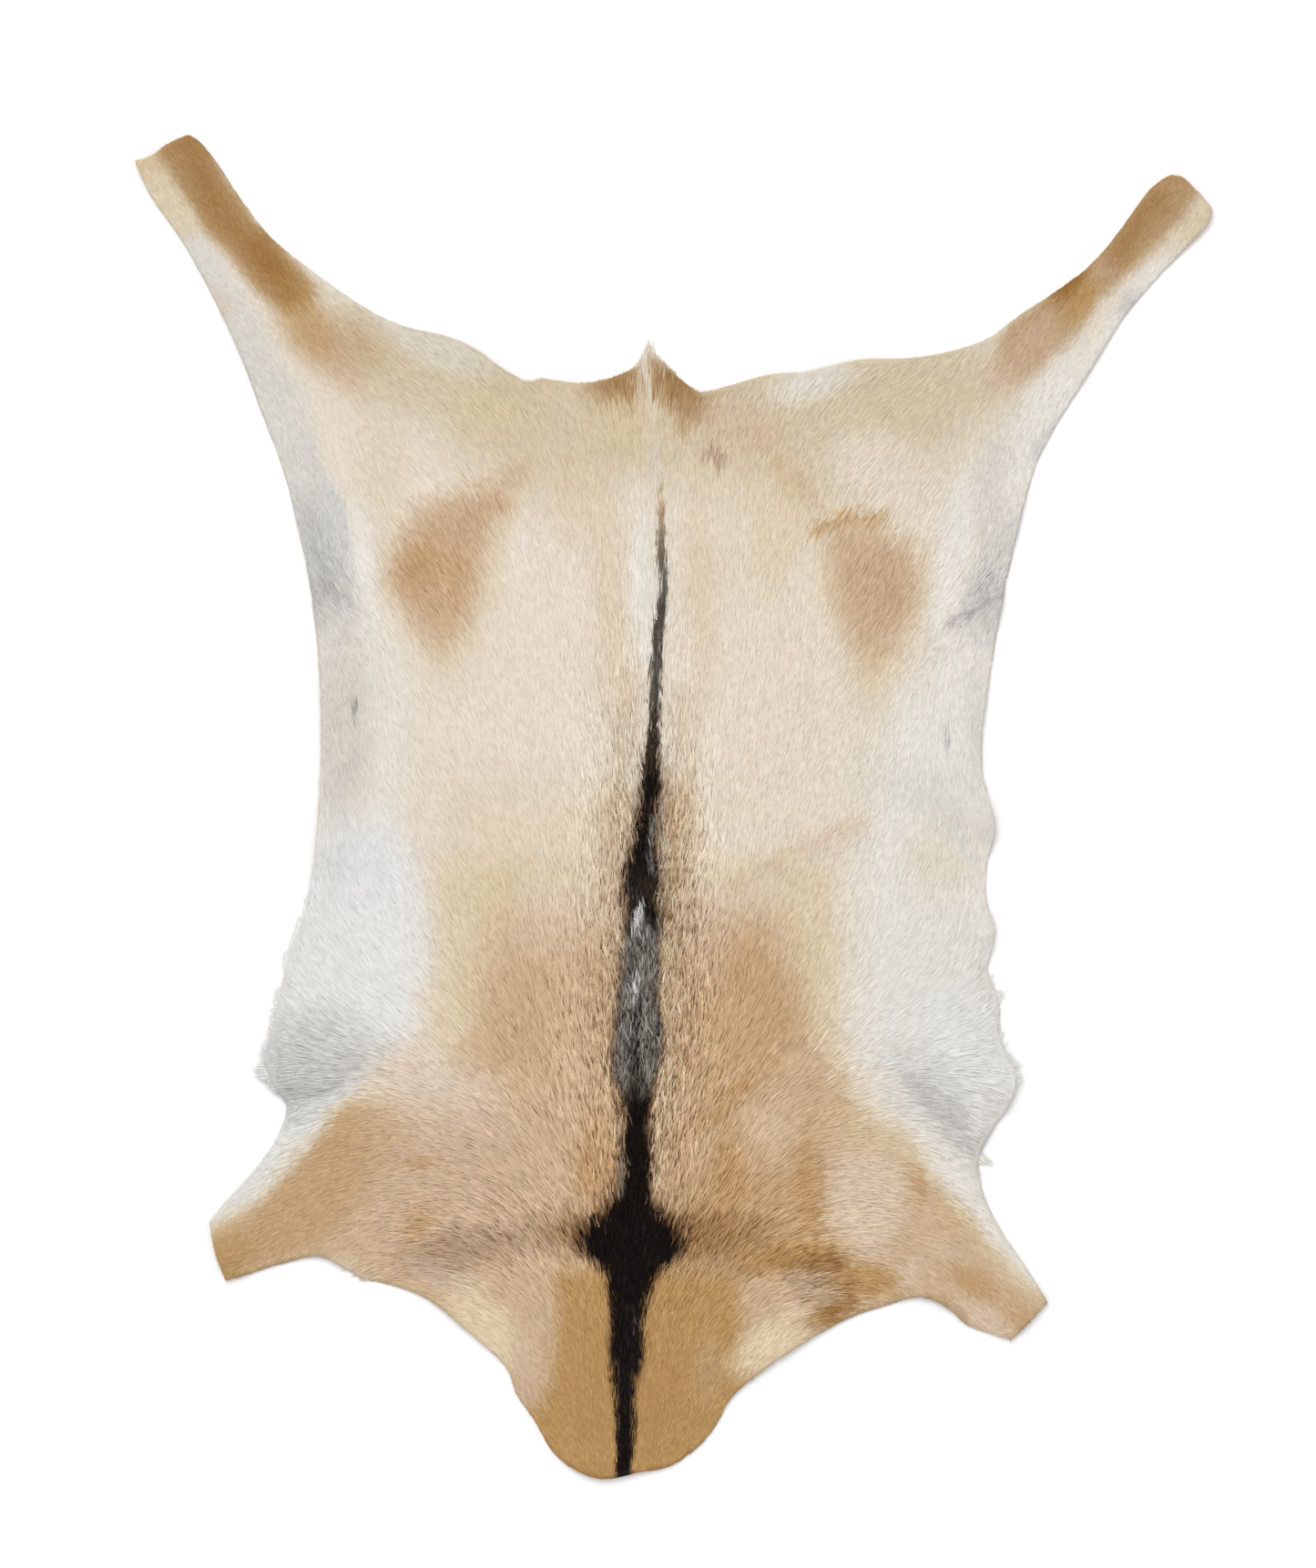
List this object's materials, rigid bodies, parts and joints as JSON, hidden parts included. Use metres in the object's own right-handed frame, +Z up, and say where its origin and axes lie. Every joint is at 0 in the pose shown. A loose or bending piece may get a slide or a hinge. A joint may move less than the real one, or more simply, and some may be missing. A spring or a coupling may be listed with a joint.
{
  "type": "goatskin",
  "caption": "Whole tanned goatskin with its short hair on, lying flat hair side up, pale cream and fawn with a black line along the spine.",
  "frame": {"origin": "under the middle of the hide's bounding box, on the surface that it lies on", "axes": "+Z up, +Y towards the tail and hind legs, +X to the right as seen from above with the tail away from the viewer"},
  "size_m": [0.802, 1.001, 0.0114],
  "materials": {
    "coat": "short lying goat hair, cream and fawn with white flanks and a black line along the spine",
    "flesh_side": "undyed tanned suede on the underside"
  },
  "bodies": {
    "root": {"goatskin": "coat"}
  },
  "joints": []
}
